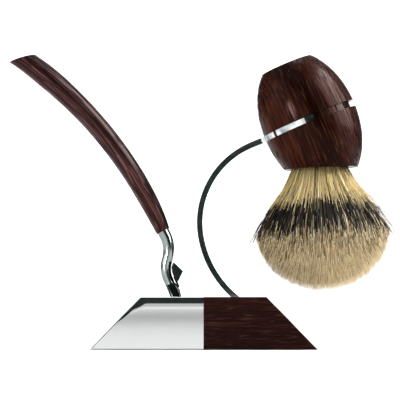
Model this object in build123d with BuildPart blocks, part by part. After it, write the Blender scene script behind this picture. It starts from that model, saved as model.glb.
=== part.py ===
from build123d import *
import os
from math import cos, exp, radians, sin, tan

# Shaving stand: a two-tone wedge block, a bent steel strap that clips a matching brush,
# and a razor whose head drops into a slot in the metal half of the block.
# Frame: +X to the brush side, +Z up, origin at the middle of the foot, on the plane
# where the metal half meets the wooden half. All lengths are in millimetres.

os.makedirs("parts", exist_ok=True)

# ---- driving dimensions: base ----
BASE_LENGTH = 100.0
BASE_TOP_LENGTH = 55.0
BASE_DEPTH = 58.0
BASE_HEIGHT = 23.1
METAL_ROUND = 0.8
WOOD_ROUND = 0.6
BOTTOM_CHAMFER = 0.2
SEAM_CHAMFER = 0.15
FOOT_PROUD = 0.2
PAD_THICKNESS = 1.2
PLATE_THICKNESS = 1.5
PLATE_LENGTH = 84.0
PLATE_WIDTH = 46.0
RECESS_GAP = 0.25
CORNER_RADIUS = 4.0
TIE_SCREW_X = 36.0
TIE_SCREW_Y = 16.0
TIE_SCREW_LENGTH = 8.0
TIE_SCREW_RADIUS = 1.45
TIE_HEAD_RADIUS = 2.7
TIE_HEAD_HEIGHT = 1.3
HEX_KEY = 1.8
KEY_DEPTH = 0.9
DOWEL_RADIUS = 1.5
DOWEL_LENGTH = 12.0
DOWEL_Y = 26.0
DOWEL_Z = 11.0
FIT_GAP = 0.02

# ---- driving dimensions: razor slot ----
SLOT_LEFT = -15.6
SLOT_RIGHT = -2.6
SLOT_DEPTH_Y = 46.0
SLOT_FLOOR = 7.3
SLOT_PAD_THICKNESS = 1.0
SLOT_CORNER = 3.0
SLOT_CHAMFER = 0.4

# ---- driving dimensions: brush strap ----
BRUSH_X = 47.9
BRUSH_Z = 102.3
BRUSH_TILT = 22.5
STRAP_THICKNESS = 2.5
STRAP_WIDTH = 7.0
RING_INNER = 19.9
RING_OUTER = 21.9
RING_END_ANGLE = 88.0
RING_FILLET = 3.0
FOOT_RISE_ANGLE = 139.8
LOWER_END_ANGLE = 100.0
LOWER_RADIUS = 45.3
UPPER_RADIUS = 37.9
TENON_LENGTH = 14.0
MORTISE_GAP = 0.05
GRUB_INSET = 9.0
GRUB_RADIUS = 1.95
GRUB_START = 4.0
GRUB_TIP_RADIUS = 0.3
GRUB_TIP_LENGTH = 1.6
GRUB_CLEAR = 0.2
INSERT_RADIUS = 3.0
INSERT_LENGTH = 7.0

# ---- driving dimensions: brush ----
BARREL_RADIUS = 21.8
BARREL_HALF_HEIGHT = 32.8
BARREL_TOP = 27.5
BARREL_REACH = 31.0
GROOVE_HEIGHT = 3.1
GROOVE_FLOOR = 19.5
RIM_ROUND = 0.5
HAIR_X = 52.3
HAIR_Z = 80.9
HAIR_TILT = 2.7
SOCKET_RADIUS = 12.6
SOCKET_DEPTH = 13.0
PLUG_LENGTH = 7.0
HAIR_LENGTH = 55.0
HAIR_MAX_RADIUS = 29.9
HAIR_MAX_DROP = 31.0

# ---- driving dimensions: razor ----
CURVE_X = -187.0
CURVE_Z = -20.0
CURVE_RADIUS = 183.8
HANDLE_START = 23.3
HANDLE_END = 57.4
HANDLE_STATIONS = 9
HANDLE_CUT_X = -80.8
HANDLE_CUT_Z = 130.9
HANDLE_CUT_SLOPE = 16.5
HANDLE_THICKNESS = 9.0
HANDLE_SWELL = 1.9
HANDLE_PINCH = 2.7
HANDLE_PINCH_REACH = 0.1
HANDLE_WIDTH = 13.0
HANDLE_SPREAD = 1.5
HANDLE_SIDE_PINCH = 5.0
HANDLE_SIDE_REACH = 0.16
NECK_START_TILT = 27.0
NECK_BACK_TILT = 18.0
HEAD_TILT = 23.4
NECK_LEAD = 2.0
NECK_UPPER_RADIUS = 14.8
NECK_LOWER_RADIUS = 12.0
NECK_STRAIGHT = 2.32
NECK_TOP_RADIUS = 2.75
NECK_END_RADIUS = 2.2
NECK_STATIONS = 11
TANG_RADIUS = 1.6
TANG_LENGTH = 14.0
SPIGOT_RADIUS = 0.85
SPIGOT_LENGTH = 4.0
SPIGOT_OFFSET = -0.95

# ---- driving dimensions: razor head ----
CONNECTOR_LENGTH = 8.6
CONNECTOR_ROUND = 1.2
NOSE_LENGTH = 2.4
NOSE_THICKNESS = 2.4
NOSE_WIDTH = 7.6
NOSE_ROUND = 0.4
BUTTON_WIDTH = 6.4
BUTTON_ROUND = 0.35
STEM_BACK = 2.5
STEM_FRONT = 3.4
STEM_WIDTH = 3.0
FOOT_TOP = -1.8
FOOT_BOTTOM = -3.0
POCKET_BACK = 0.3
POCKET_WIDTH = 3.6
POCKET_FLOOR = -7.4
SPRING_RADIUS = 0.65
SPRING_WIRE = 0.12
SPRING_TURNS = 5
SPRING_GAP = 0.1
YOKE_WIDTH = 10.4
YOKE_THICKNESS = 4.0
YOKE_DROP = 3.1
YOKE_ROUND = 0.8
YOKE_STEP = 0.4
PIVOT_FORWARD = -0.8
PIVOT_DOWN = 14.5
TRUNNION_RADIUS = 1.2
TRUNNION_HALF = 9.9
PIVOT_GAP = 0.06
FACE_DROP = 14.0
CARTRIDGE_LENGTH = 41.6
CARTRIDGE_HEIGHT = 10.8
SLAB_BACK = 1.7
SLAB_FRONT = 3.6
LUG_INNER = 7.0
LUG_OUTER = 9.8
LUG_BACK = -1.5
LUG_HALF = 1.6
LUG_ROOT = 1.0
RINSE_SLOT = 0.7
RINSE_PITCH = 1.8
BLADE_COUNT = 3
BLADE_PITCH = 1.9
BLADE_LENGTH = 36.8
BLADE_WIDTH = 1.7
BLADE_THICKNESS = 0.25
BLADE_SLANT = 24.0
WINDOW_HALF = 3.2
WINDOW_DEPTH = 1.1
CLIP_BAND = 0.9
CLIP_INSET = 0.75
CLIP_SHEET = 0.25
STRIP_WIDTH = 1.5
STRIP_PROUD = 0.55
STRIP_BASE = 0.25
STRIP_GAP = 0.1
STRIP_ROUND = 0.2
FIN_COUNT = 4
SEAT_GAP = 0.1
SMALL_ROUND = 0.45

# ---- sizes that follow, and planes ----
half_depth = BASE_DEPTH / 2
recess_top = PAD_THICKNESS + PLATE_THICKNESS


def leaning(x, z, lean):
    """A plane at (x, 0, z) with its normal leaning by so many degrees from +Z towards +X."""
    across = (cos(radians(lean)), 0, -sin(radians(lean)))
    up = (sin(radians(lean)), 0, cos(radians(lean)))
    return Plane(origin=(x, 0, z), x_dir=across, z_dir=up)


def side_of(frame):
    """The upright plane through a leaning plane: its x is the frame's x, its y the frame's z."""
    return Plane(origin=frame.origin, x_dir=frame.x_dir, z_dir=(0, -1, 0))


def point_on(frame, across, up):
    """Global X and Z of a point given along a leaning plane's x and z."""
    spot = frame.origin + frame.x_dir * across + frame.z_dir * up
    return spot.X, spot.Z


def finish(piece, name):
    piece.part.label = name
    export_step(piece.part, f"parts/{name}.step")


brush_plane = leaning(BRUSH_X, BRUSH_Z, -BRUSH_TILT)
hair_plane = leaning(HAIR_X, HAIR_Z, -HAIR_TILT)


# ---- base: the metal half, the wooden half and what ties them ----
def half_outline(side):
    """The wedge block's half outline, on the side of the joint plane that the sign gives."""
    with BuildSketch(Plane.XZ) as outline:
        with BuildLine():
            Polyline(
                (0, FOOT_PROUD),
                (side * (BASE_LENGTH / 2 - FOOT_PROUD), FOOT_PROUD),
                (side * BASE_TOP_LENGTH / 2, BASE_HEIGHT),
                (0, BASE_HEIGHT),
                close=True,
            )
        make_face()
    return outline.sketch


def cut_underside(side):
    """Cuts the tie plate's recess, two screw holes and two dowel holes into one half."""
    with BuildSketch(Plane.XY) as recess:
        RectangleRounded(PLATE_LENGTH + 2 * RECESS_GAP, PLATE_WIDTH + 2 * RECESS_GAP, CORNER_RADIUS)
    extrude(recess.sketch, amount=recess_top, mode=Mode.SUBTRACT)
    with BuildSketch(Plane.XY.offset(recess_top)) as screw_holes:
        with Locations((side * TIE_SCREW_X, TIE_SCREW_Y), (side * TIE_SCREW_X, -TIE_SCREW_Y)):
            Circle(TIE_SCREW_RADIUS + FIT_GAP)
    extrude(screw_holes.sketch, amount=TIE_SCREW_LENGTH, mode=Mode.SUBTRACT)
    with BuildSketch(Plane.YZ) as dowel_holes:
        with Locations((DOWEL_Y, DOWEL_Z), (-DOWEL_Y, DOWEL_Z)):
            Circle(DOWEL_RADIUS + FIT_GAP)
    extrude(dowel_holes.sketch, amount=DOWEL_LENGTH / 2 + FIT_GAP, both=True, mode=Mode.SUBTRACT)


def round_outer_edges(block, radius):
    """Rounds every outer edge of one half, with a fine chamfer round the bottom."""
    upper = [edge for edge in block.edges() if off_the_seam(edge) and edge.center().Z > 1]
    fillet(upper, radius)
    lower = [edge for edge in block.edges() if off_the_seam(edge) and edge.bounding_box().max.Z < 1]
    chamfer(lower, BOTTOM_CHAMFER)


def off_the_seam(edge):
    return abs(edge.center().X) > 0.01


def on_the_seam(edge):
    box = edge.bounding_box()
    return abs(box.min.X) < 1e-4 and abs(box.max.X) < 1e-4


slot_centre = (SLOT_LEFT + SLOT_RIGHT) / 2
slot_width = SLOT_RIGHT - SLOT_LEFT

with BuildPart() as metal_block:
    extrude(half_outline(-1), amount=half_depth, both=True)
    round_outer_edges(metal_block, METAL_ROUND)
    chamfer(metal_block.edges().filter_by(on_the_seam), SEAM_CHAMFER)
    with BuildSketch(Plane.XY.offset(BASE_HEIGHT)):
        with Locations((slot_centre, 0)):
            RectangleRounded(slot_width, SLOT_DEPTH_Y, SLOT_CORNER)
    extrude(amount=SLOT_FLOOR - BASE_HEIGHT, mode=Mode.SUBTRACT)
    mouth = metal_block.edges().filter_by_position(Axis.Z, BASE_HEIGHT - 0.01, BASE_HEIGHT + 0.01)
    chamfer(mouth.filter_by_position(Axis.X, SLOT_LEFT - 0.1, SLOT_RIGHT + 0.1), SLOT_CHAMFER)
    cut_underside(-1)
finish(metal_block, "metal_block")

# The strap's foot lies where its two bends bring it out in line with the ring's plane.
foot_rise = radians(FOOT_RISE_ANGLE)
bend_change = radians(LOWER_END_ANGLE)
tail_rise = radians(BRUSH_TILT)
lower_run = LOWER_RADIUS * (sin(foot_rise) - sin(bend_change))
lower_climb = LOWER_RADIUS * (cos(bend_change) - cos(foot_rise))
upper_run = UPPER_RADIUS * (sin(bend_change) - sin(tail_rise))
upper_climb = UPPER_RADIUS * (cos(tail_rise) - cos(bend_change))
bend_end_z = BASE_HEIGHT + lower_climb + upper_climb
bend_end_x = BRUSH_X + (bend_end_z - BRUSH_Z) / tan(tail_rise)
foot_x = bend_end_x - lower_run - upper_run
foot_into = (-cos(foot_rise), -sin(foot_rise))
tenon_end = (foot_x + foot_into[0] * TENON_LENGTH, BASE_HEIGHT + foot_into[1] * TENON_LENGTH)
grub_x = foot_x + foot_into[0] * GRUB_INSET + foot_into[1] * STRAP_THICKNESS / 2
tenon_underside = BASE_HEIGHT + foot_into[1] * GRUB_INSET - foot_into[0] * STRAP_THICKNESS / 2
grub_top = tenon_underside - GRUB_CLEAR
foot_plane = Plane(
    origin=(tenon_end[0], 0, tenon_end[1]),
    x_dir=(0, 1, 0),
    z_dir=(cos(foot_rise), 0, sin(foot_rise)),
)

with BuildPart() as wood_block:
    extrude(half_outline(1), amount=half_depth, both=True)
    round_outer_edges(wood_block, WOOD_ROUND)
    cut_underside(1)
    with BuildSketch(foot_plane):
        Rectangle(STRAP_WIDTH + 2 * MORTISE_GAP, STRAP_THICKNESS + 2 * MORTISE_GAP)
    extrude(amount=TENON_LENGTH + STRAP_WIDTH, mode=Mode.SUBTRACT)
    with BuildSketch(Plane.XY.offset(recess_top)):
        with Locations((grub_x, 0)):
            Circle(INSERT_RADIUS)
    extrude(amount=INSERT_LENGTH, mode=Mode.SUBTRACT)
    with BuildSketch(Plane.XY.offset(recess_top)):
        with Locations((grub_x, 0)):
            Circle(GRUB_RADIUS + FIT_GAP)
    extrude(amount=tenon_underside - recess_top, mode=Mode.SUBTRACT)
finish(wood_block, "wood_block")

with BuildPart() as tie_plate:
    with BuildSketch(Plane.XY.offset(PAD_THICKNESS)):
        RectangleRounded(PLATE_LENGTH, PLATE_WIDTH, CORNER_RADIUS)
        with GridLocations(2 * TIE_SCREW_X, 2 * TIE_SCREW_Y, 2, 2):
            Circle(TIE_SCREW_RADIUS + FIT_GAP, mode=Mode.SUBTRACT)
    extrude(amount=PLATE_THICKNESS)
    underside = tie_plate.faces().sort_by(Axis.Z)[0]
    chamfer(
        underside.inner_wires().edges(),
        TIE_HEAD_RADIUS - TIE_SCREW_RADIUS,
        TIE_HEAD_HEIGHT,
        reference=underside,
    )
finish(tie_plate, "tie_plate")

with BuildPart() as tie_screws:
    with GridLocations(2 * TIE_SCREW_X, 2 * TIE_SCREW_Y, 2, 2):
        with Locations((0, 0, PAD_THICKNESS + FIT_GAP)):
            Cone(
                TIE_HEAD_RADIUS - 2 * FIT_GAP,
                TIE_SCREW_RADIUS - FIT_GAP,
                TIE_HEAD_HEIGHT,
                align=(Align.CENTER, Align.CENTER, Align.MIN),
            )
        with Locations((0, 0, PAD_THICKNESS + TIE_HEAD_HEIGHT)):
            Cylinder(
                TIE_SCREW_RADIUS - FIT_GAP,
                TIE_SCREW_LENGTH,
                align=(Align.CENTER, Align.CENTER, Align.MIN),
            )
        with Locations((0, 0, PAD_THICKNESS)):
            Box(HEX_KEY, HEX_KEY, KEY_DEPTH * 2, mode=Mode.SUBTRACT)
finish(tie_screws, "tie_screws")

with BuildPart() as foot_pad:
    with BuildSketch(Plane.XY):
        RectangleRounded(PLATE_LENGTH - RECESS_GAP, PLATE_WIDTH - RECESS_GAP, CORNER_RADIUS)
    extrude(amount=PAD_THICKNESS)
finish(foot_pad, "foot_pad")

with BuildPart() as block_dowels:
    with BuildSketch(Plane.YZ.offset(-DOWEL_LENGTH / 2)):
        with Locations((DOWEL_Y, DOWEL_Z), (-DOWEL_Y, DOWEL_Z)):
            Circle(DOWEL_RADIUS)
    extrude(amount=DOWEL_LENGTH)
finish(block_dowels, "block_dowels")

with BuildPart() as slot_pad:
    with BuildSketch(Plane.XY.offset(SLOT_FLOOR)):
        with Locations((slot_centre, 0)):
            RectangleRounded(slot_width - RECESS_GAP, SLOT_DEPTH_Y - RECESS_GAP, SLOT_CORNER)
    extrude(amount=SLOT_PAD_THICKNESS)
finish(slot_pad, "slot_pad")

# ---- brush strap: one flat steel plate, a C-shaped ring with a tail bent down to the block ----
ring_underside = brush_plane.offset(-STRAP_THICKNESS / 2)
tail_length = (BRUSH_X - bend_end_x) / cos(tail_rise) - RING_OUTER
mouth_reach = 2 * RING_OUTER
mouth_rise = mouth_reach * sin(radians(RING_END_ANGLE))
mouth_run = mouth_reach * cos(radians(RING_END_ANGLE))

with BuildPart() as brush_holder:
    with BuildSketch(ring_underside) as ring_outline:
        Circle(RING_OUTER)
        with Locations((-RING_OUTER - tail_length / 2, 0)):
            Rectangle(tail_length, STRAP_WIDTH)
        with Locations((-RING_OUTER, 0)):
            Rectangle(STRAP_THICKNESS, STRAP_WIDTH)
        corners = ring_outline.vertices().sort_by(Axis.X)[2:4]
        fillet(corners, RING_FILLET)
        Circle(RING_INNER, mode=Mode.SUBTRACT)
        Polygon(
            (0, 0),
            (mouth_run, mouth_rise),
            (mouth_reach, mouth_rise),
            (mouth_reach, -mouth_rise),
            (mouth_run, -mouth_rise),
            align=None,
            mode=Mode.SUBTRACT,
        )
    extrude(amount=STRAP_THICKNESS)
    with BuildLine(Plane.XZ) as bend:
        tenon = Line(tenon_end, (foot_x, BASE_HEIGHT))
        lower = JernArc(tenon @ 1, tenon % 1, LOWER_RADIUS, LOWER_END_ANGLE - FOOT_RISE_ANGLE)
        upper = JernArc(lower @ 1, lower % 1, UPPER_RADIUS, BRUSH_TILT - LOWER_END_ANGLE)
        Line(upper @ 1, upper @ 1 + (upper % 1) * (tail_length / 2))
    with BuildSketch(foot_plane):
        Rectangle(STRAP_WIDTH, STRAP_THICKNESS)
    sweep(path=bend.line)
finish(brush_holder, "brush_holder")

with BuildPart() as thread_insert:
    with BuildSketch(Plane.XY.offset(recess_top)):
        with Locations((grub_x, 0)):
            Circle(INSERT_RADIUS)
            Circle(GRUB_RADIUS + FIT_GAP, mode=Mode.SUBTRACT)
    extrude(amount=INSERT_LENGTH)
finish(thread_insert, "thread_insert")

with BuildPart() as grub_screw:
    with Locations((grub_x, 0, GRUB_START)):
        Cylinder(
            GRUB_RADIUS,
            grub_top - GRUB_TIP_LENGTH - GRUB_START,
            align=(Align.CENTER, Align.CENTER, Align.MIN),
        )
        Box(HEX_KEY, HEX_KEY, 2 * KEY_DEPTH, mode=Mode.SUBTRACT)
    with Locations((grub_x, 0, grub_top - GRUB_TIP_LENGTH)):
        Cone(
            GRUB_RADIUS,
            GRUB_TIP_RADIUS,
            GRUB_TIP_LENGTH,
            align=(Align.CENTER, Align.CENTER, Align.MIN),
        )
finish(grub_screw, "grub_screw")

# ---- brush: a barrel-shaped handle, a resin plug and the hair ----
barrel_axis = Axis(brush_plane.origin, brush_plane.z_dir)

with BuildPart() as brush_handle:
    with BuildSketch(side_of(brush_plane)):
        Ellipse(BARREL_RADIUS, BARREL_HALF_HEIGHT)
        with Locations((0, -BARREL_REACH)):
            Rectangle(
                BARREL_RADIUS * 2,
                BARREL_TOP + BARREL_REACH,
                align=(Align.MIN, Align.MIN),
                mode=Mode.INTERSECT,
            )
    revolve(axis=barrel_axis)
    with BuildSketch(side_of(brush_plane)):
        with Locations((GROOVE_FLOOR, 0)):
            Rectangle(BARREL_RADIUS, GROOVE_HEIGHT, align=(Align.MIN, Align.CENTER))
    revolve(axis=barrel_axis, mode=Mode.SUBTRACT)
    split(bisect_by=hair_plane, keep=Keep.TOP)
    with BuildSketch(hair_plane):
        Circle(SOCKET_RADIUS)
    extrude(amount=SOCKET_DEPTH, mode=Mode.SUBTRACT)
    top_face = brush_handle.faces().sort_by(barrel_axis)[-1]
    fillet(top_face.edges(), RIM_ROUND)
finish(brush_handle, "brush_handle")

hair_axis = Axis(hair_plane.origin, hair_plane.z_dir)
hair_in_socket = SOCKET_DEPTH - PLUG_LENGTH

with BuildPart() as knot_plug:
    with BuildSketch(hair_plane.offset(hair_in_socket)):
        Circle(SOCKET_RADIUS)
    extrude(amount=PLUG_LENGTH)
finish(knot_plug, "knot_plug")

with BuildPart() as brush_hair:
    with BuildSketch(side_of(hair_plane)):
        with BuildLine():
            Line((0, hair_in_socket), (SOCKET_RADIUS, hair_in_socket))
            Line((SOCKET_RADIUS, hair_in_socket), (SOCKET_RADIUS, 0))
            Spline(
                (SOCKET_RADIUS, 0),
                (0.7 * HAIR_MAX_RADIUS, -0.4 * HAIR_MAX_DROP),
                (HAIR_MAX_RADIUS, -HAIR_MAX_DROP),
                tangents=((0.35, -1), (0, -1)),
            )
            EllipticalCenterArc(
                (0, -HAIR_MAX_DROP),
                HAIR_MAX_RADIUS,
                HAIR_LENGTH - HAIR_MAX_DROP,
                start_angle=270,
                arc_size=90,
            )
            Line((0, -HAIR_LENGTH), (0, hair_in_socket))
        make_face()
    revolve(axis=hair_axis)
finish(brush_hair, "brush_hair")


# ---- razor: a horn-shaped handle on a bent neck ----
def curve_point(angle):
    """Global X and Z of the handle's centreline at an angle about the curve's centre."""
    return CURVE_X + CURVE_RADIUS * cos(radians(angle)), CURVE_Z + CURVE_RADIUS * sin(radians(angle))


def handle_thickness(t):
    """Thickness in the plane of the bend, from the neck (t = 0) to the free end (t = 1)."""
    return HANDLE_THICKNESS + HANDLE_SWELL * t**2 - HANDLE_PINCH * exp(-t / HANDLE_PINCH_REACH)


def handle_width(t):
    """Width across the bend: slim at the neck, broad at the free end."""
    return HANDLE_WIDTH + HANDLE_SPREAD * t - HANDLE_SIDE_PINCH * exp(-t / HANDLE_SIDE_REACH)


neck_x, neck_z = curve_point(HANDLE_START)
neck_plane = leaning(neck_x, neck_z, -NECK_START_TILT)

with BuildPart() as razor_handle:
    for station in range(HANDLE_STATIONS):
        t = (station / (HANDLE_STATIONS - 1)) ** 1.6
        angle = HANDLE_START + (HANDLE_END - HANDLE_START) * t
        lean = -angle if station else -NECK_START_TILT
        with BuildSketch(leaning(*curve_point(angle), lean)):
            Ellipse(handle_thickness(t) / 2, handle_width(t) / 2)
    loft()
    end_plane = leaning(HANDLE_CUT_X, HANDLE_CUT_Z, -HANDLE_CUT_SLOPE)
    split(bisect_by=end_plane, keep=Keep.BOTTOM)
    with BuildSketch(neck_plane):
        Circle(TANG_RADIUS + FIT_GAP)
    extrude(amount=TANG_LENGTH + FIT_GAP, mode=Mode.SUBTRACT)
finish(razor_handle, "razor_handle")

# The neck leaves the handle, bends back past upright, then forward again into the head.
with BuildPart() as razor_neck:
    with BuildLine(Plane.XZ) as neck_line:
        lead = Line((neck_x, neck_z), point_on(neck_plane, 0, -NECK_LEAD))
        upper_bend = JernArc(lead @ 1, lead % 1, NECK_UPPER_RADIUS, -NECK_START_TILT - NECK_BACK_TILT)
        lower_bend = JernArc(upper_bend @ 1, upper_bend % 1, NECK_LOWER_RADIUS, NECK_BACK_TILT + HEAD_TILT)
        Line(lower_bend @ 1, lower_bend @ 1 + (lower_bend % 1) * NECK_STRAIGHT)
    neck_wire = neck_line.wires()[0]
    for station in range(NECK_STATIONS):
        t = station / (NECK_STATIONS - 1)
        section_plane = Plane(origin=neck_wire @ t, x_dir=(0, 1, 0), z_dir=neck_wire % t)
        with BuildSketch(section_plane):
            Circle(NECK_TOP_RADIUS + (NECK_END_RADIUS - NECK_TOP_RADIUS) * t)
    loft()
    with BuildSketch(neck_plane):
        Circle(TANG_RADIUS)
    extrude(amount=TANG_LENGTH)
    neck_end = neck_wire @ 1
    head_plane = leaning(neck_end.X, neck_end.Z, -HEAD_TILT)
    with BuildSketch(head_plane):
        with Locations((SPIGOT_OFFSET, 0)):
            Circle(SPIGOT_RADIUS)
    extrude(amount=-SPIGOT_LENGTH)
finish(razor_neck, "razor_neck")

# ---- razor head: the docking connector, the eject button and its spring ----
head_side = side_of(head_plane)

with BuildPart() as head_connector:
    # share of the length, shift forward, thickness and width of each section
    connector_stations = (
        (0.0, 0.0, 4.3, 4.9),
        (0.45, 0.35, 4.95, 7.4),
        (0.75, 0.2, 4.7, 8.6),
        (1.0, -0.15, 3.7, 9.0),
    )
    for share, forward, thickness, width in connector_stations:
        with BuildSketch(head_plane.offset(-share * CONNECTOR_LENGTH)):
            with Locations((forward, 0)):
                RectangleRounded(thickness, width, CONNECTOR_ROUND)
    loft()
    with BuildSketch(head_plane.offset(-CONNECTOR_LENGTH)):
        RectangleRounded(NOSE_THICKNESS, NOSE_WIDTH, NOSE_ROUND)
    extrude(amount=-NOSE_LENGTH)
    with BuildSketch(head_plane):
        with Locations((SPIGOT_OFFSET, 0)):
            Circle(SPIGOT_RADIUS + FIT_GAP)
    extrude(amount=-SPIGOT_LENGTH - FIT_GAP, mode=Mode.SUBTRACT)
    with BuildSketch(head_plane):
        with Locations((POCKET_BACK, 0)):
            Rectangle(2 * STEM_FRONT, POCKET_WIDTH, align=(Align.MIN, Align.CENTER))
    extrude(amount=POCKET_FLOOR, mode=Mode.SUBTRACT)
finish(head_connector, "head_connector")

with BuildPart() as eject_button:
    # the thumb wedge: upper tip, front corner, two lower corners and the back along the neck
    with BuildSketch(head_side):
        Polygon(
            (5.3, 8.5),
            (7.7, 2.9),
            (5.8, 1.3),
            (3.7, -0.6),
            (2.8, 2.0),
            (2.9, 4.4),
            (3.5, 6.6),
            align=None,
        )
    extrude(amount=BUTTON_WIDTH / 2, both=True)
    fillet(eject_button.edges(), BUTTON_ROUND)
    with BuildSketch(head_side):
        Polygon(
            (STEM_BACK, 2.2),
            (STEM_FRONT + 0.4, 3.2),
            (STEM_FRONT, FOOT_BOTTOM),
            (POCKET_BACK + 0.3, FOOT_BOTTOM),
            (POCKET_BACK + 0.3, FOOT_TOP),
            (STEM_BACK, FOOT_TOP),
            align=None,
        )
    extrude(amount=STEM_WIDTH / 2, both=True)
finish(eject_button, "eject_button")

with BuildPart() as eject_spring:
    spring_bottom = POCKET_FLOOR + SPRING_WIRE + SPRING_GAP
    spring_x, spring_z = point_on(head_plane, (POCKET_BACK + STEM_BACK) / 2, spring_bottom)
    spring_plane = leaning(spring_x, spring_z, -HEAD_TILT)
    spring_height = FOOT_BOTTOM - SPRING_WIRE - SPRING_GAP - spring_bottom
    with BuildLine(spring_plane) as coil:
        Helix(spring_height / SPRING_TURNS, spring_height, SPRING_RADIUS)
    with BuildSketch(Plane(origin=coil.line @ 0, z_dir=coil.line % 0)):
        Circle(SPRING_WIRE)
    sweep(path=coil.line, is_frenet=True)
finish(eject_spring, "eject_spring")

pivot_x, pivot_z = point_on(head_plane, PIVOT_FORWARD, -PIVOT_DOWN)
pivot_plane = leaning(pivot_x, pivot_z, -HEAD_TILT)
yoke_top = -CONNECTOR_LENGTH - SEAT_GAP

with BuildPart() as cartridge_yoke:
    with BuildSketch(head_plane.offset(yoke_top)):
        RectangleRounded(YOKE_THICKNESS, YOKE_WIDTH, YOKE_ROUND)
    extrude(amount=-YOKE_DROP)
    with BuildSketch(head_side):
        Polygon(
            (PIVOT_FORWARD - TRUNNION_RADIUS, -PIVOT_DOWN),
            (PIVOT_FORWARD + TRUNNION_RADIUS, -PIVOT_DOWN),
            (YOKE_THICKNESS / 3, yoke_top - YOKE_DROP),
            (-YOKE_THICKNESS / 2, yoke_top - YOKE_DROP),
            align=None,
        )
    extrude(amount=YOKE_WIDTH / 2 - YOKE_STEP, both=True)
    with BuildSketch(side_of(pivot_plane)):
        Circle(TRUNNION_RADIUS)
    extrude(amount=TRUNNION_HALF, both=True)
    with BuildSketch(head_plane.offset(yoke_top)):
        RectangleRounded(NOSE_THICKNESS + SEAT_GAP, NOSE_WIDTH + SEAT_GAP, NOSE_ROUND)
    extrude(amount=-NOSE_LENGTH, mode=Mode.SUBTRACT)
finish(cartridge_yoke, "cartridge_yoke")

# ---- cartridge: its side plane's x is the shaving face's normal, its y runs up the face ----
face_plane = leaning(pivot_x, pivot_z, FACE_DROP)
cartridge_side = side_of(face_plane)
cartridge_half = CARTRIDGE_LENGTH / 2
lug_run = LUG_OUTER - LUG_INNER
lug_length = SLAB_BACK - LUG_BACK + LUG_ROOT
lug_y = (LUG_INNER + LUG_OUTER) / 2
clip_y = BLADE_LENGTH / 2 + CLIP_INSET


def both_ends(offset):
    """The cartridge's side plane moved to each end by the same distance."""
    return [cartridge_side.offset(-offset), cartridge_side.offset(offset)]


with BuildPart() as cartridge_frame:
    with BuildSketch(cartridge_side):
        with Locations((SLAB_BACK, 0)):
            Rectangle(SLAB_FRONT - SLAB_BACK, CARTRIDGE_HEIGHT, align=(Align.MIN, Align.CENTER))
    extrude(amount=cartridge_half, both=True)
    fillet(cartridge_frame.edges(), SMALL_ROUND)
    with BuildSketch(*both_ends(lug_y)):
        with Locations((LUG_BACK, 0)):
            RectangleRounded(lug_length, 2 * LUG_HALF, SMALL_ROUND, align=(Align.MIN, Align.CENTER))
    extrude(amount=lug_run / 2, both=True)
    with BuildSketch(*both_ends(lug_y)):
        Circle(TRUNNION_RADIUS + PIVOT_GAP)
    extrude(amount=lug_run, both=True, mode=Mode.SUBTRACT)
    with BuildSketch(cartridge_side):
        with Locations((SLAB_FRONT - WINDOW_DEPTH, 0)):
            Rectangle(2 * WINDOW_DEPTH, 2 * WINDOW_HALF, align=(Align.MIN, Align.CENTER))
    extrude(amount=BLADE_LENGTH / 2 + SEAT_GAP, both=True, mode=Mode.SUBTRACT)
    with BuildSketch(cartridge_side):
        for row in range(BLADE_COUNT + 1):
            with Locations((SLAB_BACK, (row - BLADE_COUNT / 2) * RINSE_PITCH)):
                Rectangle(2 * LUG_ROOT, RINSE_SLOT)
    extrude(amount=BLADE_LENGTH / 2 - LUG_ROOT, both=True, mode=Mode.SUBTRACT)
finish(cartridge_frame, "cartridge_frame")

with BuildPart() as razor_blades:
    with BuildSketch(cartridge_side):
        for row in range(BLADE_COUNT):
            blade_height = (row - (BLADE_COUNT - 1) / 2) * BLADE_PITCH
            with Locations(Location((SLAB_FRONT, blade_height, 0), (0, 0, BLADE_SLANT - 90))):
                Rectangle(BLADE_THICKNESS, BLADE_WIDTH)
    extrude(amount=BLADE_LENGTH / 2, both=True)
finish(razor_blades, "razor_blades")

with BuildPart() as blade_clips:
    with BuildSketch(*both_ends(clip_y)):
        with Locations((SLAB_BACK - CLIP_SHEET, 0)):
            Rectangle(
                SLAB_FRONT - SLAB_BACK + 2 * CLIP_SHEET,
                CARTRIDGE_HEIGHT + 2 * CLIP_SHEET,
                align=(Align.MIN, Align.CENTER),
            )
        with Locations((SLAB_BACK, 0)):
            Rectangle(
                SLAB_FRONT - SLAB_BACK,
                CARTRIDGE_HEIGHT,
                align=(Align.MIN, Align.CENTER),
                mode=Mode.SUBTRACT,
            )
    extrude(amount=CLIP_BAND / 2, both=True)
finish(blade_clips, "blade_clips")

strip_half = clip_y - CLIP_BAND / 2 - STRIP_GAP
strip_height = (WINDOW_HALF + CARTRIDGE_HEIGHT / 2) / 2 - STRIP_GAP

with BuildPart() as lube_strip:
    with BuildSketch(cartridge_side):
        with Locations((SLAB_FRONT, strip_height)):
            Rectangle(STRIP_PROUD, STRIP_WIDTH, align=(Align.MIN, Align.CENTER))
    extrude(amount=strip_half, both=True)
    fillet(lube_strip.edges().filter_by(Axis.Y).sort_by(Axis.X)[-2:], STRIP_ROUND)
finish(lube_strip, "lube_strip")

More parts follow.
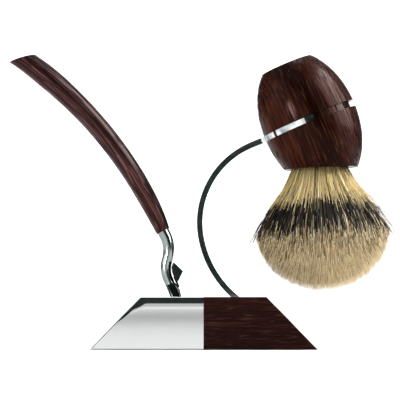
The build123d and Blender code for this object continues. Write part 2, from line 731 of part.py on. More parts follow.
with BuildPart() as guard_strip:
    with BuildSketch(cartridge_side):
        with Locations((SLAB_FRONT, -strip_height)):
            Rectangle(STRIP_BASE, STRIP_WIDTH, align=(Align.MIN, Align.CENTER))
        for fin in range(FIN_COUNT):
            fin_height = -strip_height + (fin - (FIN_COUNT - 1) / 2) * STRIP_WIDTH / FIN_COUNT
            with Locations((SLAB_FRONT, fin_height)):
                Rectangle(STRIP_PROUD, STRIP_WIDTH / FIN_COUNT / 2, align=(Align.MIN, Align.CENTER))
    extrude(amount=strip_half, both=True)
finish(guard_strip, "guard_strip")
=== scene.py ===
import math

import bmesh
import bpy
import numpy as np
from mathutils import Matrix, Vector


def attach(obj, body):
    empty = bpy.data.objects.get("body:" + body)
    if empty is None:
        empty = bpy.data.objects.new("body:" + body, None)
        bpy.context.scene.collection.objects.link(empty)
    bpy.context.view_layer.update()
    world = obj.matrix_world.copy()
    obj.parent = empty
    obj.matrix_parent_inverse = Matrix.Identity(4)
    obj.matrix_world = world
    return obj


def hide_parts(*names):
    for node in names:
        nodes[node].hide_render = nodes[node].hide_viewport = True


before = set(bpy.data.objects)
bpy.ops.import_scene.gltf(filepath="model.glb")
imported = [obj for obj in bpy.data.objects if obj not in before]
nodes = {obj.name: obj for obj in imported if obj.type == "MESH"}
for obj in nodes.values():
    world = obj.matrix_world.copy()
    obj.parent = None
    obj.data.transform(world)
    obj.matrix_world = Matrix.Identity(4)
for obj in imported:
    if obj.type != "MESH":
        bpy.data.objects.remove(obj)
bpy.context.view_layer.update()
scene = bpy.context.scene
scene.view_settings.view_transform = "Standard"


# ---- camera, floor and light ----
camera_data = bpy.data.cameras.new("camera")
camera = bpy.data.objects.new("camera", camera_data)
scene.collection.objects.link(camera)
scene.camera = camera
camera_data.sensor_width = 36.0
camera_data.lens = 200.0
camera_data.clip_start = 0.01
camera_data.clip_end = 100.0
camera.location = (-0.0016, -1.0, 0.0225)
aim = Vector((-0.0016, 0.0, 0.06675))
camera.rotation_euler = (aim - camera.location).to_track_quat("-Z", "Y").to_euler()

world = bpy.data.worlds.new("studio")
scene.world = world
world.use_nodes = True
world.node_tree.nodes["Background"].inputs["Color"].default_value = (1.0, 1.0, 1.0, 1.0)
world.node_tree.nodes["Background"].inputs["Strength"].default_value = 0.75


def upright(start, end, low, high):
    """The corners of an upright sheet that stands between two floor points."""
    return [(*start, low), (*end, low), (*end, high), (*start, high)]


def quad(name, corners):
    """A flat four-sided mesh through four points."""
    mesh = bpy.data.meshes.new(name)
    mesh.from_pydata(corners, [], [(0, 1, 2, 3)])
    obj = bpy.data.objects.new(name, mesh)
    scene.collection.objects.link(obj)
    return obj


def principled(name):
    made = bpy.data.materials.new(name)
    made.use_nodes = True
    return made, made.node_tree, made.node_tree.nodes["Principled BSDF"]


def flat_finish(name, colour, roughness, **sockets):
    """A finish with the same colour and gloss all over."""
    made, tree, shader = principled(name)
    shader.inputs["Base Color"].default_value = (*colour, 1.0)
    shader.inputs["Roughness"].default_value = roughness
    for socket, value in sockets.items():
        shader.inputs[socket.replace("_", " ")].default_value = value
    return made


floor = quad("floor", [(-30, -30, 0), (30, -30, 0), (30, 30, 0), (-30, 30, 0)])
floor.data.materials.append(flat_finish("floor_paper", (0.93, 0.93, 0.93), 0.9))


def card(name, corners, colour):
    """A studio card that shows in reflections only."""
    obj = quad(name, corners)
    obj.data.materials.append(flat_finish(name, colour, 0.95))
    obj.visible_camera = False
    obj.visible_shadow = False


card("front_card", upright((-2.6, -2), (2.6, -2), 0.02, 2.4), (0.02, 0.035, 0.031))
card("left_flag", upright((-1.2, 3.2), (-3.6, 1.2), 0.02, 3.2), (0.12, 0.13, 0.13))
card("right_flag", upright((1.2, 3.2), (3.6, 1.2), 0.02, 3.2), (0.12, 0.13, 0.13))

glowing_paper = flat_finish("backdrop_paper", (0.9, 0.9, 0.9), 0.5, Emission_Strength=0.8)
glow = glowing_paper.node_tree.nodes["Principled BSDF"].inputs["Emission Color"]
glow.default_value = (1.0, 1.0, 1.0, 1.0)
backdrop = quad("backdrop", upright((-1.7, 5), (1.7, 5), -0.5, 3))
backdrop.data.materials.append(glowing_paper)

# side and rear walls that only the camera sees, so that every view has the same pale ground
for side, (x, y) in {"left": (-6, 0), "right": (6, 0), "rear": (0, -6)}.items():
    across, along = (0, 6) if x else (6, 0)
    wall = quad(side + "_wall", upright((x - across, y - along), (x + across, y + along), -0.5, 4))
    wall.data.materials.append(glowing_paper)
    wall.visible_diffuse = False
    wall.visible_glossy = False
    wall.visible_transmission = False
    wall.visible_shadow = False


def softbox(name, place, target, size, power):
    data = bpy.data.lights.new(name, "AREA")
    data.shape = "RECTANGLE"
    data.size, data.size_y = size
    data.energy = power
    light = bpy.data.objects.new(name, data)
    scene.collection.objects.link(light)
    light.location = place
    light.rotation_euler = (Vector(target) - Vector(place)).to_track_quat("-Z", "Y").to_euler()
    return light


def sunlight(name, direction, strength, spread):
    data = bpy.data.lights.new(name, "SUN")
    data.energy = strength
    data.angle = math.radians(spread)
    light = bpy.data.objects.new(name, data)
    scene.collection.objects.link(light)
    light.rotation_euler = Vector(direction).to_track_quat("-Z", "Y").to_euler()


sunlight("overhead", (0.1, -0.25, -1.0), 1.3, 30)
softbox("right_top", (0.9, 0.0, 0.85), (0.05, 0, 0.08), (0.85, 0.85), 14.0)
softbox("left_side", (-1.1, -0.3, 0.5), (0, 0, 0.07), (0.6, 0.6), 3.0)
for sheen in (
    softbox("left_front", (-0.7, -0.9, 0.2), (0.03, 0, 0.08), (0.34, 0.34), 16.0),
    softbox("right_sheen", (1.0, -0.15, 0.75), (0.05, 0, 0.08), (1.1, 1.1), 52.0),
):
    sheen.visible_diffuse = False
fill = softbox("front_fill", (0.2, -5.0, 1.5), (0.03, 0, 0.05), (2.2, 2.0), 46.0)
fill.visible_glossy = False


# ---- finishes ----
def node(tree, kind, **settings):
    made = tree.nodes.new(kind)
    for key, value in settings.items():
        setattr(made, key, value)
    return made


def feed(tree, source, target):
    tree.links.new(source, target)


def own_place(tree):
    """The surface point in the piece's own coordinates, in metres."""
    return node(tree, "ShaderNodeTexCoord").outputs["Object"]


def mapped(tree, vector, scale=(1, 1, 1), turn=(0, 0, 0), move=(0, 0, 0)):
    made = node(tree, "ShaderNodeMapping")
    made.inputs["Scale"].default_value = scale
    made.inputs["Rotation"].default_value = turn
    made.inputs["Location"].default_value = move
    feed(tree, vector, made.inputs["Vector"])
    return made.outputs["Vector"]


def noise(tree, vector, scale=1.0, detail=3.0, rough=0.55, distortion=0.0):
    made = node(tree, "ShaderNodeTexNoise")
    made.inputs["Scale"].default_value = scale
    made.inputs["Detail"].default_value = detail
    made.inputs["Roughness"].default_value = rough
    made.inputs["Distortion"].default_value = distortion
    feed(tree, vector, made.inputs["Vector"])
    return made.outputs["Fac"]


def ramp(tree, value, stops):
    """A colour or grey ramp; stops are (position, (r, g, b)) pairs."""
    made = node(tree, "ShaderNodeValToRGB")
    elements = made.color_ramp.elements
    while len(elements) < len(stops):
        elements.new(0.5)
    for element, (position, colour) in zip(elements, stops):
        element.position = position
        element.color = (*colour, 1.0)
    feed(tree, value, made.inputs["Fac"])
    return made.outputs["Color"]


def grey(level):
    return (level, level, level)


def mixed(tree, share, first, second, blend="MIX"):
    made = node(tree, "ShaderNodeMix", data_type="RGBA", blend_type=blend)
    feed(tree, share, made.inputs[0])
    for source, target in ((first, made.inputs[6]), (second, made.inputs[7])):
        if isinstance(source, tuple):
            target.default_value = (*source, 1.0)
        else:
            feed(tree, source, target)
    return made.outputs[2]


def bumped(tree, shader, height, strength, distance):
    made = node(tree, "ShaderNodeBump")
    made.inputs["Strength"].default_value = strength
    made.inputs["Distance"].default_value = distance
    feed(tree, height, made.inputs["Height"])
    feed(tree, made.outputs["Normal"], shader.inputs["Normal"])


def straight_grain(tree, turn=(0, 0, 0)):
    """Grain coordinates with x along the fibres."""
    return mapped(tree, own_place(tree), turn=turn)


def curved_grain(tree, centre, radius):
    """Grain coordinates that follow a circle in the XZ plane: x runs round it, z across it."""
    away = node(tree, "ShaderNodeVectorMath", operation="SUBTRACT")
    feed(tree, own_place(tree), away.inputs[0])
    away.inputs[1].default_value = (centre[0], 0.0, centre[1])
    parts = node(tree, "ShaderNodeSeparateXYZ")
    feed(tree, away.outputs[0], parts.inputs[0])
    round_it = node(tree, "ShaderNodeMath", operation="ARCTAN2")
    feed(tree, parts.outputs["Z"], round_it.inputs[0])
    feed(tree, parts.outputs["X"], round_it.inputs[1])
    run = node(tree, "ShaderNodeMath", operation="MULTIPLY")
    feed(tree, round_it.outputs[0], run.inputs[0])
    run.inputs[1].default_value = radius
    level = node(tree, "ShaderNodeCombineXYZ")
    feed(tree, parts.outputs["X"], level.inputs["X"])
    feed(tree, parts.outputs["Z"], level.inputs["Z"])
    reach = node(tree, "ShaderNodeVectorMath", operation="LENGTH")
    feed(tree, level.outputs[0], reach.inputs[0])
    made = node(tree, "ShaderNodeCombineXYZ")
    feed(tree, run.outputs[0], made.inputs["X"])
    feed(tree, parts.outputs["Y"], made.inputs["Y"])
    feed(tree, reach.outputs["Value"], made.inputs["Z"])
    return made.outputs[0]


def wavy(tree, vector, size, reach):
    """Coordinates pushed about by a slow noise, so that straight bands run in waves."""
    made = node(tree, "ShaderNodeTexNoise")
    made.inputs["Scale"].default_value = 1.0 / size
    made.inputs["Detail"].default_value = 1.0
    feed(tree, vector, made.inputs["Vector"])
    centred = node(tree, "ShaderNodeVectorMath", operation="SUBTRACT")
    feed(tree, made.outputs["Color"], centred.inputs[0])
    centred.inputs[1].default_value = (0.5, 0.5, 0.5)
    pushed = node(tree, "ShaderNodeVectorMath", operation="MULTIPLY_ADD")
    feed(tree, centred.outputs[0], pushed.inputs[0])
    pushed.inputs[1].default_value = (reach, reach, reach)
    feed(tree, vector, pushed.inputs[2])
    return pushed.outputs[0]


def heart_and_shade_streak(tree, along, centre, half_width):
    """A mask for one near-black streak, measured across the grain in metres: heartwood on the razor handle;
    on the brush barrel partly the wood's dark figure and partly painted shade down its middle.
    """
    sides = node(tree, "ShaderNodeSeparateXYZ")
    feed(tree, wavy(tree, along, 0.03, 3 * half_width), sides.inputs[0])
    offset = node(tree, "ShaderNodeMath", operation="SUBTRACT")
    feed(tree, sides.outputs["Z"], offset.inputs[0])
    offset.inputs[1].default_value = centre
    reach = node(tree, "ShaderNodeMath", operation="ABSOLUTE")
    feed(tree, offset.outputs[0], reach.inputs[0])
    share = node(tree, "ShaderNodeMath", operation="DIVIDE")
    feed(tree, reach.outputs[0], share.inputs[0])
    share.inputs[1].default_value = 2 * half_width
    return ramp(tree, share.outputs[0], [(0.15, grey(0.9)), (0.75, grey(0.0))])


def wenge(
    name,
    grain,
    deep,
    body,
    streak,
    spacing=0.001,
    gloss=0.3,
    shine=0.25,
    pores=0.55,
    flecks=0.25,
    wave=(0.02, 0.001),
    run=7,
    heart_and_shade=None,
    gold=None,
    fine=(60, 1500),
    sheet=0.12,
):
    """Dark open-grained hardwood: growth streaks with dark pores and a few pale flecks along the grain.

    deep, body and streak are its tones; gold is the tone of the flecks. spacing is the distance
    between streaks in metres, run their turns to the metre along the grain, wave the size and reach
    of their bends, and fine the pores' turns to the metre along and across. heart is the place and
    half width of one near-black streak, and sheet says how much the streaks change in depth.
    """
    made, tree, shader = principled(name)
    along = wavy(tree, grain(tree), *wave)
    band_scale = 1.0 / spacing
    bands = noise(tree, mapped(tree, along, (run, sheet * band_scale, band_scale)), 1.0, 3.0, 0.6, 0.1)
    colour = ramp(tree, bands, [(0.4, deep), (0.5, body), (0.63, streak)])
    broad = noise(tree, mapped(tree, along, (5, 110, 110)), 1.0, 2.0, 0.5, 0.1)
    colour = mixed(tree, ramp(tree, broad, [(0.42, grey(0.0)), (0.62, grey(0.75))]), colour, deep)
    # one near-black streak: heartwood on the razor handle; down the barrel's middle partly dark figure and
    # partly painted shade
    if heart_and_shade:
        heart_and_shade_tone = tuple(0.6 * level for level in deep)
        colour = mixed(tree, heart_and_shade_streak(tree, along, *heart_and_shade), colour, heart_and_shade_tone)
    along_turns, across_turns = fine
    pore_place = mapped(tree, along, (along_turns, 2 * sheet * across_turns, across_turns))
    pore_lines = noise(tree, pore_place, 1.0, 1.0, 0.5, 0.1)
    pore_mask = ramp(tree, pore_lines, [(0.54, grey(0.0)), (0.6, grey(pores))])
    colour = mixed(tree, pore_mask, colour, tuple(0.5 * level for level in deep))
    fleck_scale = (0.7 * along_turns, 2 * sheet * across_turns, 1.1 * across_turns)
    fleck_lines = noise(tree, mapped(tree, along, fleck_scale, move=(3, 5, 7)), 1.0, 1.0, 0.5, 0.1)
    fleck_mask = ramp(tree, fleck_lines, [(0.61, grey(0.0)), (0.72, grey(flecks))])
    pale = gold or tuple(min(1.0, 2.2 * level + 0.02) for level in streak)
    feed(tree, mixed(tree, fleck_mask, colour, pale), shader.inputs["Base Color"])
    dulled = ramp(tree, pore_lines, [(0.5, grey(gloss)), (0.6, grey(gloss + 0.45))])
    feed(tree, dulled, shader.inputs["Roughness"])
    shader.inputs["Specular IOR Level"].default_value = shine
    shader.inputs["Specular Tint"].default_value = (1.0, 0.6, 0.52, 1.0)
    bumped(tree, shader, pore_lines, -0.3, 0.00006)
    return made


def polished(name, colour, low, high, reflection_dark=None, patch=90):
    """Polished metal with faint wiping marks in its gloss, and, when a second colour is given, darker
    patches of it painted in as uneven reflections.
    """
    made, tree, shader = principled(name)
    shader.inputs["Base Color"].default_value = (*colour, 1.0)
    # darker patches of the second colour are painted reflections
    if reflection_dark:
        reflection_patches = noise(tree, own_place(tree), patch, 3.0, 0.6)
        feed(tree, ramp(tree, reflection_patches, [(0.4, colour), (0.58, reflection_dark)]), shader.inputs["Base Color"])
    shader.inputs["Metallic"].default_value = 1.0
    marks = noise(tree, mapped(tree, own_place(tree), (70, 40, 120)), 1.0, 4.0, 0.6, 0.5)
    feed(tree, ramp(tree, marks, [(0.35, grey(low)), (0.7, grey(high))]), shader.inputs["Roughness"])
    return made


# where the ring's painted reflections fade in and are full; a ramp runs from 0 to 1, so lengths are scaled
# to it
RING_STARTS = (0.007, 0.012)
RAMP_PER_METRE = 50


def strap_finish():
    """Polished strip: bright along the tail with darker patches painted in as reflections, and painted
    reflections of dark, middle and bright grey round the ring.
    """
    made = polished("strap_chrome", (0.56, 0.64, 0.6), 0.01, 0.05, (0.33, 0.39, 0.37), 150)
    tree = made.node_tree
    shader = tree.nodes["Principled BSDF"]
    tail_colour = shader.inputs["Base Color"].links[0].from_socket
    place = own_place(tree)
    # the ring's dark, middle and bright greys are painted reflections
    dark, middle, bright = (0.2, 0.23, 0.25), (0.45, 0.48, 0.48), (0.66, 0.68, 0.68)
    reflection_patches = noise(tree, place, 170, 1.0, 0.5)
    ring_reflections = ramp(tree, reflection_patches, [(0.38, dark), (0.5, middle), (0.62, bright)])
    parts = node(tree, "ShaderNodeSeparateXYZ")
    feed(tree, place, parts.inputs[0])
    reach = node(tree, "ShaderNodeMath", operation="MULTIPLY")
    feed(tree, parts.outputs["X"], reach.inputs[0])
    reach.inputs[1].default_value = RAMP_PER_METRE
    fade_in, full = (RAMP_PER_METRE * x for x in RING_STARTS)
    share = ramp(tree, reach.outputs[0], [(fade_in, grey(0.0)), (full, grey(1.0))])
    feed(tree, mixed(tree, share, tail_colour, ring_reflections), shader.inputs["Base Color"])
    return made


MOULD_GRAIN = 2200.0


def moulded(name, colour, roughness, depth=0.15, shine=0.5):
    """Moulded plastic or rubber with a fine texture."""
    made, tree, shader = principled(name)
    shader.inputs["Base Color"].default_value = (*colour, 1.0)
    shader.inputs["Specular IOR Level"].default_value = shine
    marks = noise(tree, own_place(tree), MOULD_GRAIN, 2.0)
    gloss = ramp(tree, marks, [(0.3, grey(roughness - 0.05)), (0.7, grey(roughness + 0.08))])
    feed(tree, gloss, shader.inputs["Roughness"])
    bumped(tree, shader, marks, depth, 0.00004)
    return made


def brushed(name, colour, low, high, scale):
    """Sheet or drawn metal with fine lines; the scale gives their run on each axis."""
    made, tree, shader = principled(name)
    shader.inputs["Base Color"].default_value = (*colour, 1.0)
    shader.inputs["Metallic"].default_value = 1.0
    lines = noise(tree, mapped(tree, own_place(tree), scale), 1.0, 3.0)
    feed(tree, ramp(tree, lines, [(0.3, grey(low)), (0.7, grey(high))]), shader.inputs["Roughness"])
    bumped(tree, shader, lines, 0.1, 0.00003)
    return made


BARREL_TILT = math.radians(22.5)
HANDLE_CENTRE = (-0.187, -0.020)
HANDLE_GRAIN_RADIUS = 0.184


def block_grain(tree):
    return straight_grain(tree)


def barrel_grain(tree):
    return straight_grain(tree, (0.0, math.pi / 2 + BARREL_TILT, 0.0))


def horn_grain(tree):
    return curved_grain(tree, HANDLE_CENTRE, HANDLE_GRAIN_RADIUS)


finishes = {
    "metal_block": polished("mirror_metal", (0.475, 0.48, 0.48), 0.0, 0.015),
    "wood_block": wenge(
        "wenge_block",
        block_grain,
        (0.008, 0.0022, 0.002),
        (0.027, 0.0068, 0.0056),
        (0.052, 0.015, 0.0115),
        spacing=0.0008,
        shine=0.06,
        pores=0.7,
        flecks=0.5,
        gold=(0.085, 0.036, 0.026),
        wave=(0.016, 0.002),
        run=30,
        fine=(200, 1600),
    ),
    "tie_plate": brushed("plate_steel", (0.6, 0.6, 0.6), 0.3, 0.45, (60, 1800, 1800)),
    "tie_screws": brushed("screw_steel", (0.5, 0.5, 0.5), 0.25, 0.4, (900, 900, 900)),
    "foot_pad": moulded("foot_rubber", (0.03, 0.03, 0.03), 0.7),
    "block_dowels": wenge(
        "beech",
        block_grain,
        (0.4, 0.24, 0.12),
        (0.5, 0.33, 0.18),
        (0.6, 0.42, 0.25),
        pores=0.2,
    ),
    "slot_pad": moulded("slot_rubber", (0.02, 0.02, 0.022), 0.75),
    "brush_holder": strap_finish(),
    "thread_insert": brushed("turned_brass", (0.72, 0.53, 0.25), 0.2, 0.35, (200, 200, 2500)),
    "grub_screw": moulded("black_oxide", (0.03, 0.03, 0.033), 0.4),
    "brush_handle": wenge(
        "wenge_barrel",
        barrel_grain,
        (0.009, 0.0018, 0.0012),
        (0.034, 0.0066, 0.003),
        (0.058, 0.0145, 0.007),
        spacing=0.0008,
        gloss=0.17,
        shine=0.055,
        run=3,
        wave=(0.04, 0.002),
        pores=0.6,
        flecks=0.4,
        gold=(0.11, 0.05, 0.022),
        fine=(45, 1500),
        # near-black streak down the barrel's middle: partly the wood's dark figure, partly painted shade
        # between the side lights
        heart_and_shade=(-0.0865, 0.0055),
    ),
    "knot_plug": moulded("resin", (0.6, 0.5, 0.32), 0.3),
    "razor_handle": wenge(
        "wenge_horn",
        horn_grain,
        (0.009, 0.0025, 0.003),
        (0.05, 0.014, 0.014),
        (0.22, 0.095, 0.092),
        spacing=0.0008,
        wave=(0.02, 0.002),
        pores=0.8,
        gloss=0.22,
        shine=0.1,
        heart_and_shade=(0.1859, 0.0024),
        fine=(70, 1500),
        sheet=0.3,
    ),
    "razor_neck": polished("neck_chrome", (0.22, 0.25, 0.24), 0.1, 0.18),
    "head_connector": moulded("black_gloss", (0.003, 0.007, 0.006), 0.12, depth=0.05, shine=0.35),
    "eject_button": moulded("black_satin", (0.003, 0.008, 0.007), 0.18, depth=0.08, shine=0.3),
    "eject_spring": polished("spring_steel", (0.6, 0.6, 0.6), 0.15, 0.25),
    "cartridge_yoke": moulded("yoke_grey", (0.07, 0.07, 0.075), 0.4),
    "cartridge_frame": moulded("frame_black", (0.025, 0.025, 0.028), 0.4),
    "razor_blades": brushed("blade_steel", (0.7, 0.7, 0.71), 0.15, 0.3, (60, 60, 3000)),
    "blade_clips": polished("clip_aluminium", (0.75, 0.75, 0.76), 0.12, 0.22),
    "lube_strip": moulded("lube", (0.35, 0.55, 0.62), 0.5),
    "guard_strip": moulded("guard_rubber", (0.03, 0.035, 0.045), 0.65),
}
for name, finish in finishes.items():
    piece = nodes[name]
    piece.data.materials.clear()
    piece.data.materials.append(finish)


# ---- metal half: polished faces that roll off softly towards their edges ----
BLOCK_END = -0.0498
BLOCK_TOP_END = -0.0275
BLOCK_HALF_DEPTH = 0.029
BLOCK_HEIGHT = 0.0231
BLOCK_FOOT = 0.0002
SLOT_LEFT = -0.0156
SLOT_RIGHT = -0.0026
SLOT_LENGTH = 0.046
SLOT_FLOOR = 0.0073
SLOT_CORNER = 0.003
EDGE_RADIUS = 0.0003
SEAM_RADIUS = 0.00015
RECESS_LENGTH = 0.0845
RECESS_WIDTH = 0.0465
RECESS_CORNER = 0.004
RECESS_TOP = 0.0027
# how deep and how wide the front and back roll off towards the top and the slope
ROLL_OFF = {"top": (0.00026, 0.002), "slope": (0.0002, 0.0014)}
# the height where the roll-off towards the slope starts, and its climb to full depth
ROLL_START = 0.013
ROLL_CLIMB = 0.0095
EDGE_STEPS = (0.0, 0.06, 0.13, 0.22, 0.35, 0.5, 0.75, 1.0, 1.35, 1.7, 2.1, 2.6, 3.2)


def edge_spaced(length, middle=10):
    """Shares from 0 to 1 along a side, crowded near both ends."""
    near = [step * 0.001 / length for step in EDGE_STEPS if step * 0.001 < 0.4 * length]
    between = np.linspace(near[-1], 1 - near[-1], middle)[1:-1]
    return np.concatenate((near, between, [1 - share for share in reversed(near)]))


def block_mesh():
    """The metal half as a fine grid on each of its six faces, drawn in along their edges."""
    low, high, half, top, foot = BLOCK_END, BLOCK_TOP_END, BLOCK_HALF_DEPTH, BLOCK_HEIGHT, BLOCK_FOOT
    corners = {}
    for y in (-half, half):
        corners[("a", y)] = np.array((low, y, foot))
        corners[("b", y)] = np.array((0.0, y, foot))
        corners[("c", y)] = np.array((0.0, y, top))
        corners[("d", y)] = np.array((high, y, top))
    slope = np.array((-(top - foot), 0.0, high - low))
    slope = slope / np.linalg.norm(slope)
    # each face: outward normal, a point on it and the radius of its edges
    sides = {
        "front": ((0, -1, 0), corners[("a", -half)], EDGE_RADIUS),
        "back": ((0, 1, 0), corners[("a", half)], EDGE_RADIUS),
        "top": ((0, 0, 1), corners[("c", half)], EDGE_RADIUS),
        "slope": (tuple(slope), corners[("a", half)], EDGE_RADIUS),
        "foot": ((0, 0, -1), corners[("a", half)], EDGE_RADIUS),
        "seam": ((1, 0, 0), corners[("b", half)], SEAM_RADIUS),
    }
    quads = [
        [("a", -half), ("b", -half), ("c", -half), ("d", -half)],
        [("b", half), ("a", half), ("d", half), ("c", half)],
        [("d", -half), ("c", -half), ("c", half), ("d", half)],
        [("a", half), ("a", -half), ("d", -half), ("d", half)],
        [("a", half), ("b", half), ("b", -half), ("a", -half)],
        [("b", -half), ("b", half), ("c", half), ("c", -half)],
    ]
    points, faces = [], []
    for names in quads:
        p, q, r, t = (corners[name] for name in names)
        across = edge_spaced(max(np.linalg.norm(q - p), np.linalg.norm(r - t)))
        up = edge_spaced(max(np.linalg.norm(t - p), np.linalg.norm(r - q)))
        first = sum(len(row) for row in points)
        grid = [(1 - v) * ((1 - u) * p + u * q) + v * ((1 - u) * t + u * r) for v in up for u in across]
        points.append(np.array(grid))
        for row in range(len(up) - 1):
            for column in range(len(across) - 1):
                a = first + row * len(across) + column
                faces.append((a, a + 1, a + 1 + len(across), a + len(across)))
    points = np.concatenate(points)
    moved = points.copy()
    depth = {}
    for name, (normal, on, _) in sides.items():
        depth[name] = np.maximum(0.0, (on - points) @ np.array(normal))
    climb = np.clip((points[:, 2] - ROLL_START) / ROLL_CLIMB, 0, 1) ** 1.2
    for name, (normal, _, radius) in sides.items():
        for other, (_, _, other_radius) in sides.items():
            if other == name:
                continue
            rounding = min(radius, other_radius)
            rolls = [(0.29 * rounding, rounding, 1.0)]
            if name in ("front", "back") and other in ROLL_OFF:
                rolls.append((*ROLL_OFF[other], 1.0 if other == "top" else climb))
            for drop, reach, fade in rolls:
                here = np.clip(1 - depth[name] / reach, 0, 1) ** 2
                there = np.clip(1 - depth[other] / reach, 0, 1) ** 2
                moved -= np.outer(drop * here * there * fade, normal)
    mesh = bpy.data.meshes.new("metal_half")
    mesh.from_pydata(moved.tolist(), [], faces)
    work = bmesh.new()
    work.from_mesh(mesh)
    bmesh.ops.remove_doubles(work, verts=work.verts, dist=1e-6)
    bmesh.ops.recalc_face_normals(work, faces=work.faces)
    work.to_mesh(mesh)
    work.free()
    return mesh


def rounded_outline(width, depth, radius, steps=8):
    """Corner points of a rounded rectangle about the origin."""
    outline = []
    for quarter, (sx, sy) in enumerate(((1, 1), (-1, 1), (-1, -1), (1, -1))):
        for step in range(steps + 1):
            angle = math.pi / 2 * (quarter + step / steps)
            x = sx * (width / 2 - radius) + radius * math.cos(angle)
            y = sy * (depth / 2 - radius) + radius * math.sin(angle)
            outline.append((x, y))
    return outline


def tube_faces(rings, sides):
    """The walls and the two end caps of a closed tube whose points run ring by ring."""
    faces = []
    for ring in range(rings - 1):
        for side in range(sides):
            a, b = ring * sides + side, ring * sides + (side + 1) % sides
            faces.append((a, b, b + sides, a + sides))
    faces.append(tuple(range(sides))[::-1])
    faces.append(tuple(range((rings - 1) * sides, rings * sides)))
    return faces


def prism(name, centre, layers):
    """A closed solid through rounded rectangles; layers are (z, width, depth, radius)."""
    points = []
    for z, width, depth, radius in layers:
        points += [(centre[0] + x, centre[1] + y, z) for x, y in rounded_outline(width, depth, radius)]
    mesh = bpy.data.meshes.new(name)
    mesh.from_pydata(points, [], tube_faces(len(layers), len(points) // len(layers)))
    return bpy.data.objects.new(name, mesh)


metal_half = bpy.data.objects.new("metal_half", block_mesh())
scene.collection.objects.link(metal_half)
slot_x = (SLOT_LEFT + SLOT_RIGHT) / 2
slot_width = SLOT_RIGHT - SLOT_LEFT
# heights up the slot, and how much its sides and its corners have grown there
slot_growth = [
    (SLOT_FLOOR, 0.0, 0.0),
    (BLOCK_HEIGHT - 0.0005, 0.0, 0.0),
    (BLOCK_HEIGHT, 0.0009, 0.00045),
    (BLOCK_HEIGHT + 0.0029, 0.0011, 0.0006),
]
cutters = [
    prism(
        "slot_cutter",
        (slot_x, 0),
        [(z, slot_width + out, SLOT_LENGTH + out, SLOT_CORNER + turn) for z, out, turn in slot_growth],
    ),
    prism(
        "recess_cutter",
        (0, 0),
        [(z, RECESS_LENGTH, RECESS_WIDTH, RECESS_CORNER) for z in (-0.002, RECESS_TOP)],
    ),
]
for cutter in cutters:
    scene.collection.objects.link(cutter)
    cut = metal_half.modifiers.new(cutter.name, "BOOLEAN")
    cut.operation = "DIFFERENCE"
    cut.solver = "EXACT"
    cut.object = cutter
finished = bpy.data.meshes.new_from_object(metal_half.evaluated_get(bpy.context.evaluated_depsgraph_get()))
metal_half.modifiers.clear()
metal_half.data = finished
for cutter in cutters:
    bpy.data.objects.remove(cutter)
finished.polygons.foreach_set("use_smooth", [True] * len(finished.polygons))
finished.set_sharp_from_angle(angle=math.radians(34))
finished.materials.clear()
finished.materials.append(finishes["metal_block"])
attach(metal_half, "stand")
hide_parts("metal_block")


# ---- razor neck: one smooth tapered bar through its two bends ----
def turned(start, heading, radius, swing, steps):
    """Points and headings along an arc in the XZ plane; heading and swing in degrees from straight down."""
    points, headings = [], []
    side = 1 if swing > 0 else -1
    across = np.array((math.cos(math.radians(heading)), math.sin(math.radians(heading)))) * side
    centre = np.array(start) + across * radius
    for step in range(steps + 1):
        now = heading + swing * step / steps
        out = np.array((math.cos(math.radians(now)), math.sin(math.radians(now)))) * side
        points.append(centre - out * radius)
        headings.append(now)
    return points, headings


HANDLE_RADIUS = 0.1838
HANDLE_START = math.radians(23.3)
NECK_START_TILT = 27.0
NECK_BACK_TILT = -18.0
HEAD_TILT = 23.4
NECK_LEAD = 0.002
NECK_UPPER_RADIUS = 0.0148
NECK_LOWER_RADIUS = 0.012
NECK_STRAIGHT = 0.00232
NECK_TOP_RADIUS = 0.00275
NECK_END_RADIUS = 0.0022


def downward(heading):
    """The direction in the XZ plane at a heading in degrees from straight down."""
    return np.array((math.sin(math.radians(heading)), -math.cos(math.radians(heading))))


def neck_line():
    """Points and headings down the neck: a short lead, two bends and a straight end."""
    handle_end = np.array((math.cos(HANDLE_START), math.sin(HANDLE_START)))
    start = np.array(HANDLE_CENTRE) + HANDLE_RADIUS * handle_end
    lead_end = start + NECK_LEAD * downward(NECK_START_TILT)
    upper_swing = NECK_BACK_TILT - NECK_START_TILT
    upper, upper_headings = turned(lead_end, NECK_START_TILT, NECK_UPPER_RADIUS, upper_swing, 22)
    lower_swing = HEAD_TILT - NECK_BACK_TILT
    lower, lower_headings = turned(upper[-1], NECK_BACK_TILT, NECK_LOWER_RADIUS, lower_swing, 20)
    headings = [NECK_START_TILT] + upper_headings + lower_headings[1:]
    points = [start] + upper + lower[1:]
    points.append(points[-1] + NECK_STRAIGHT * downward(headings[-1]))
    headings.append(headings[-1])
    return points, headings


